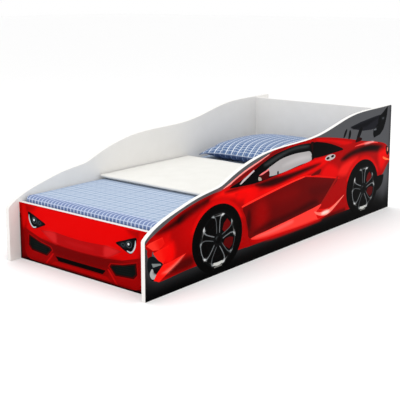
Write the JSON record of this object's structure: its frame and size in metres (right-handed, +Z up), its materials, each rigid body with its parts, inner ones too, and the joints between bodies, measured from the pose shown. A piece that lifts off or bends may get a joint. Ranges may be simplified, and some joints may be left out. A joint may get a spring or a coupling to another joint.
{
  "type": "toddler bed",
  "caption": "Low toddler bed with car-shaped side boards printed as a red sports car, slatted base, mattress, fitted sheet, folded blanket and checked pillow.",
  "frame": {"origin": "centre of the bed's footprint, on the floor", "axes": "+X towards the head end (the car's tail), -Y towards the near printed side board, +Z up"},
  "size_m": [1.5, 0.6406, 0.4377],
  "materials": {
    "white_board": "15 mm fibreboard with a white melamine face and white edges, satin",
    "printed_film": "printed vinyl film of a red sports car on black, satin gloss",
    "pine": "planed pine",
    "beech": "grooved beech",
    "zinc_steel": "zinc-plated steel",
    "zinc_alloy": "die-cast zinc",
    "cap_plastic": "white moulded plastic",
    "mattress_cover": "white knitted cover over foam",
    "sheet_cotton": "light blue woven cotton with fine checks",
    "blanket_fabric": "off-white brushed cotton",
    "pillow_cotton": "mid blue woven cotton with white checks"
  },
  "bodies": {
    "bed_frame": {"near_side_panel": "white_board", "far_side_panel": "white_board", "foot_panel": "white_board", "head_panel": "white_board", "near_side_graphic": "printed_film", "far_side_graphic": "printed_film", "foot_graphic": "printed_film", "near_side_rail": "pine", "far_side_rail": "pine", "slat_01": "pine", "slat_02": "pine", "slat_03": "pine", "slat_04": "pine", "slat_05": "pine", "slat_06": "pine", "slat_07": "pine", "slat_08": "pine", "slat_09": "pine", "slat_10": "pine", "slat_11": "pine", "slat_screws": "zinc_steel", "rail_screws": "zinc_steel", "cam_bolts": "zinc_steel", "cam_drums": "zinc_alloy", "cam_caps": "cap_plastic", "dowels": "beech"},
    "mattress": {"mattress": "mattress_cover", "fitted_sheet": "sheet_cotton"},
    "blanket": {"blanket": "blanket_fabric"},
    "pillow": {"pillow": "pillow_cotton"}
  },
  "joints": [
    {"name": "mattress_lift", "type": "slide", "parent": "bed_frame", "child": "mattress", "axis": [0, 0, 1], "range_m": [0, 0.4]},
    {"name": "blanket_lift", "type": "slide", "parent": "mattress", "child": "blanket", "axis": [0, 0, 1], "range_m": [0, 0.25]},
    {"name": "pillow_lift", "type": "slide", "parent": "mattress", "child": "pillow", "axis": [0, 0, 1], "range_m": [0, 0.25]}
  ]
}
